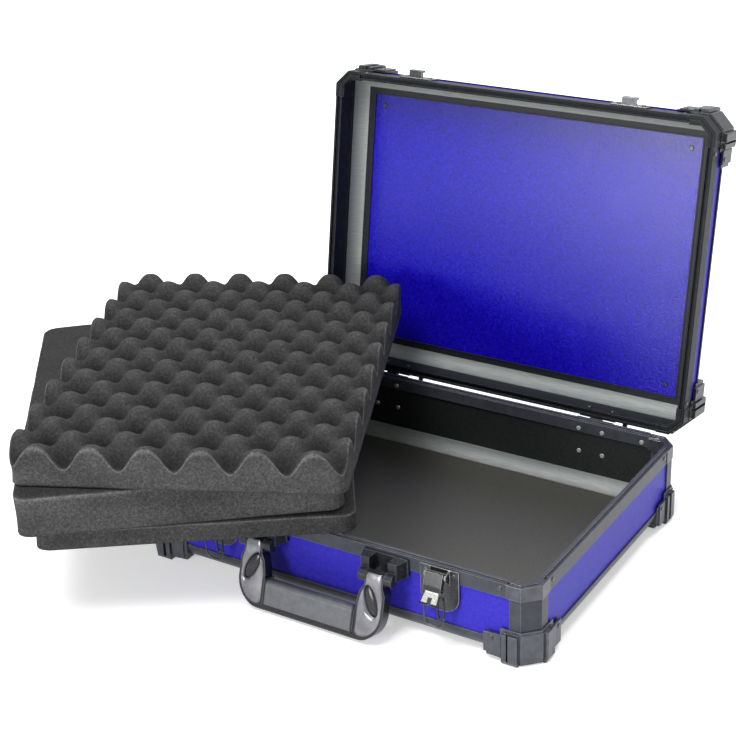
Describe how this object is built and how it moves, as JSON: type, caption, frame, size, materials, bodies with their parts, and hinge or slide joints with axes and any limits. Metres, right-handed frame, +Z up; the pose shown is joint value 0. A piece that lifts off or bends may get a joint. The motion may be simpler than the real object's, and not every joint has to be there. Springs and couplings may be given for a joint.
{
  "type": "laptop hard case",
  "caption": "Shallow hard case, hinged lid open, panels in dark rails with ribbed corner protectors, draw latches, folding handle and a stack of foam sheets.",
  "frame": {"origin": "centre of the underside of the bottom panel of the base", "axes": "+X to the right along the front (latch) side, +Y to the back (hinge) side, +Z up; the lid rests open"},
  "size_m": [0.7199, 0.6433, 0.4336],
  "materials": {
    "blue_panel": "textured laminate sheet, satin",
    "dark_rail": "dark anodised, satin",
    "corner_cap": "dark, satin",
    "bright_trim": "mill finish",
    "lining": "thin felt lining",
    "protector": "satin grey",
    "rivet": "satin",
    "hinge_steel": "satin",
    "latch_lever": "glossy black",
    "bright_wire": "polished",
    "latch_plate": "satin black",
    "handle_grip": "satin grey",
    "handle_frame": "satin dark grey",
    "foam": "open-cell polyurethane foam"
  },
  "bodies": {
    "base": {"base_back_panel": "blue_panel", "base_bottom_panel": "blue_panel", "base_corner_inserts": "corner_cap", "base_corner_posts": "dark_rail", "base_cove_trim": "bright_trim", "base_edge_rails": "dark_rail", "base_floor_liner": "lining", "base_front_panel": "blue_panel", "base_left_panel": "blue_panel", "base_protector_back_left": "protector", "base_protector_back_right": "protector", "base_protector_front_left": "protector", "base_protector_front_right": "protector", "base_right_panel": "blue_panel", "base_rim_rails": "dark_rail", "base_rivets": "rivet", "base_wall_liner": "lining", "handle_brackets": "handle_frame", "hinge_left_base_leaf": "hinge_steel", "hinge_left_pin": "hinge_steel", "hinge_right_base_leaf": "hinge_steel", "hinge_right_pin": "hinge_steel", "latch_left_plate": "latch_plate", "latch_right_plate": "latch_plate"},
    "lid": {"hinge_left_lid_leaf": "hinge_steel", "hinge_right_lid_leaf": "hinge_steel", "latch_left_lid_catch": "latch_plate", "latch_right_lid_catch": "latch_plate", "lid_back_panel": "blue_panel", "lid_corner_inserts": "corner_cap", "lid_corner_posts": "dark_rail", "lid_cove_trim": "bright_trim", "lid_edge_rails": "dark_rail", "lid_front_panel": "blue_panel", "lid_left_panel": "blue_panel", "lid_pane_border": "lining", "lid_protector_back_left": "protector", "lid_protector_back_right": "protector", "lid_protector_front_left": "protector", "lid_protector_front_right": "protector", "lid_right_panel": "blue_panel", "lid_rim_rails": "dark_rail", "lid_rivets": "rivet", "lid_stop_tabs": "hinge_steel", "lid_top_panel": "blue_panel", "lid_wall_liner": "lining"},
    "handle": {"handle_bail": "handle_frame", "handle_grip": "handle_grip"},
    "foam_bottom": {"foam_bottom_sheet": "foam"},
    "foam_middle": {"foam_middle_sheet": "foam"},
    "foam_egg_crate": {"foam_egg_crate_sheet": "foam"},
    "latch_left_lever": {"latch_left_lever": "latch_lever", "latch_left_tip": "bright_wire"},
    "latch_left_bail": {"latch_left_wire_bail": "bright_wire"},
    "latch_right_lever": {"latch_right_lever": "latch_lever", "latch_right_tip": "bright_wire"},
    "latch_right_bail": {"latch_right_wire_bail": "bright_wire"}
  },
  "joints": [
    {"name": "lid_hinge", "type": "hinge", "parent": "base", "child": "lid", "pos_m": [0, 0.1763, 0.0771], "axis": [1, 0, 0], "range_deg": [0, 99.67]},
    {"name": "handle_swing", "type": "hinge", "parent": "base", "child": "handle", "pos_m": [0, -0.1894, 0.061], "axis": [-1, 0, 0], "range_deg": [0, 73]},
    {"name": "latch_left_lever_swing", "type": "hinge", "parent": "base", "child": "latch_left_lever", "pos_m": [-0.1295, -0.181, 0.0755], "axis": [-1, 0, 0], "range_deg": [0, 65]},
    {"name": "latch_left_bail_swing", "type": "hinge", "parent": "latch_left_lever", "child": "latch_left_bail", "pos_m": [-0.1295, -0.18527, 0.06375], "axis": [-1, 0, 0], "range_deg": [0, 90]},
    {"name": "latch_right_lever_swing", "type": "hinge", "parent": "base", "child": "latch_right_lever", "pos_m": [0.1295, -0.181, 0.0755], "axis": [-1, 0, 0], "range_deg": [0, 90]},
    {"name": "latch_right_bail_swing", "type": "hinge", "parent": "latch_right_lever", "child": "latch_right_bail", "pos_m": [0.1295, -0.18527, 0.06375], "axis": [-1, 0, 0], "range_deg": [0, 90]},
    {"name": "foam_stack_slide", "type": "slide", "parent": "base", "child": "foam_bottom", "axis": [-0.8, -0.6, 0], "range_m": [0, 0.66]},
    {"name": "foam_middle_lift", "type": "slide", "parent": "foam_bottom", "child": "foam_middle", "axis": [0, 0, 1], "range_m": [0, 0.12]},
    {"name": "foam_egg_crate_lift", "type": "slide", "parent": "foam_middle", "child": "foam_egg_crate", "axis": [0, 0, 1], "range_m": [0, 0.12]}
  ],
  "couplings": [
    {"joint": "foam_stack_slide", "follows": "lid_hinge", "m_per_rad": 0.374}
  ]
}
